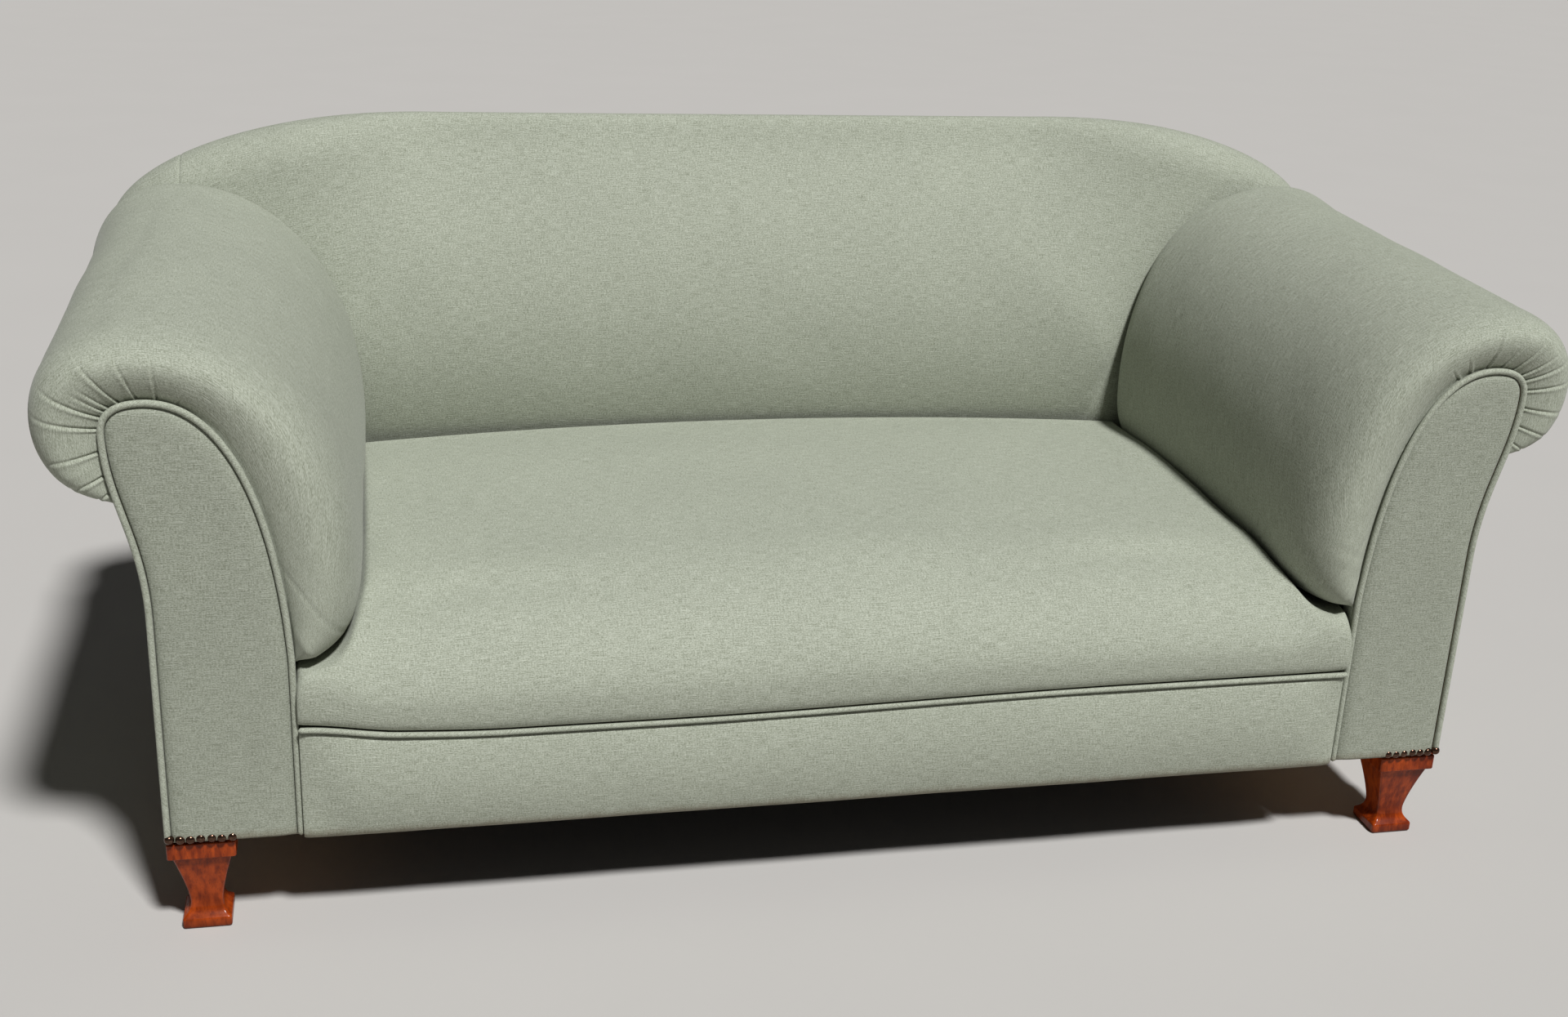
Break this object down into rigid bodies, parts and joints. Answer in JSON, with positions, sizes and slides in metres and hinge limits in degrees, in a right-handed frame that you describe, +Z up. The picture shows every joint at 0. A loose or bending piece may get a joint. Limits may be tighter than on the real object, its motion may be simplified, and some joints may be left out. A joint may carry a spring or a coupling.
{
  "type": "drop arm sofa",
  "caption": "Upholstered sofa with a rounded back and rolled arms on shaped mahogany legs; an arm lets down outwards on hinges and is held by a ratchet.",
  "frame": {"origin": "on the floor under the middle of the sofa's overall length and depth", "axes": "+X along the length towards the arm that lets down, -Y towards the front, +Z up"},
  "size_m": [1.776, 0.8, 0.816],
  "materials": {
    "linen": "plain woven, matt sage green",
    "lining": "black cotton lining",
    "webbing": "natural jute",
    "beech": "bare planed",
    "mahogany": "polished",
    "iron": "blacked",
    "steel": "bright drawn"
  },
  "bodies": {
    "sofa_frame": {"back_centre_post": "beech", "back_left_corner_block": "beech", "back_left_leg": "mahogany", "back_pad": "linen", "back_rail": "beech", "back_right_corner_block": "beech", "back_right_leg": "mahogany", "back_stuffing_rail": "beech", "back_top_rail": "beech", "border_piping": "linen", "bottom_cloth": "lining", "front_border": "linen", "front_hinge_pin": "steel", "front_hinge_sill_leaf": "iron", "front_left_corner_block": "beech", "front_left_leg": "mahogany", "front_rail": "beech", "front_right_corner_block": "beech", "front_right_leg": "mahogany", "left_arm_base_rail": "beech", "left_arm_facing": "linen", "left_arm_front_board": "beech", "left_arm_outside": "linen", "left_arm_pad": "linen", "left_arm_piping": "linen", "left_arm_rear_board": "beech", "left_arm_sill": "beech", "left_arm_stuffing_rail": "beech", "left_arm_top_rail": "beech", "left_back_post": "beech", "left_back_side": "linen", "left_end_rail": "beech", "outside_back": "linen", "pawl_pin": "steel", "ratchet_bracket": "iron", "rear_hinge_pin": "steel", "rear_hinge_sill_leaf": "iron", "right_arm_sill": "beech", "right_back_post": "beech", "right_back_side": "linen", "right_end_rail": "beech", "seat_cross_brace": "beech", "seat_pad": "linen", "seat_webbing": "webbing", "sill_band": "linen"},
    "drop_arm": {"drop_arm_facing": "linen", "drop_arm_front_board": "beech", "drop_arm_hinge_rail": "beech", "drop_arm_lining": "lining", "drop_arm_outside": "linen", "drop_arm_pad": "linen", "drop_arm_piping": "linen", "drop_arm_rear_board": "beech", "drop_arm_stuffing_rail": "beech", "drop_arm_top_rail": "beech", "front_hinge_arm_leaf": "iron", "ratchet_quadrant": "iron", "rear_hinge_arm_leaf": "iron"},
    "pawl": {"pawl": "iron"}
  },
  "joints": [
    {"name": "drop_arm_hinge", "type": "hinge", "parent": "sofa_frame", "child": "drop_arm", "pos_m": [0.7703, 0, 0.1466], "axis": [0, 1, 0], "range_deg": [0, 75]},
    {"name": "pawl_pivot", "type": "hinge", "parent": "sofa_frame", "child": "pawl", "pos_m": [0.72381, -0.075, 0.24629], "axis": [0, 1, 0], "range_deg": [0, 12]}
  ]
}
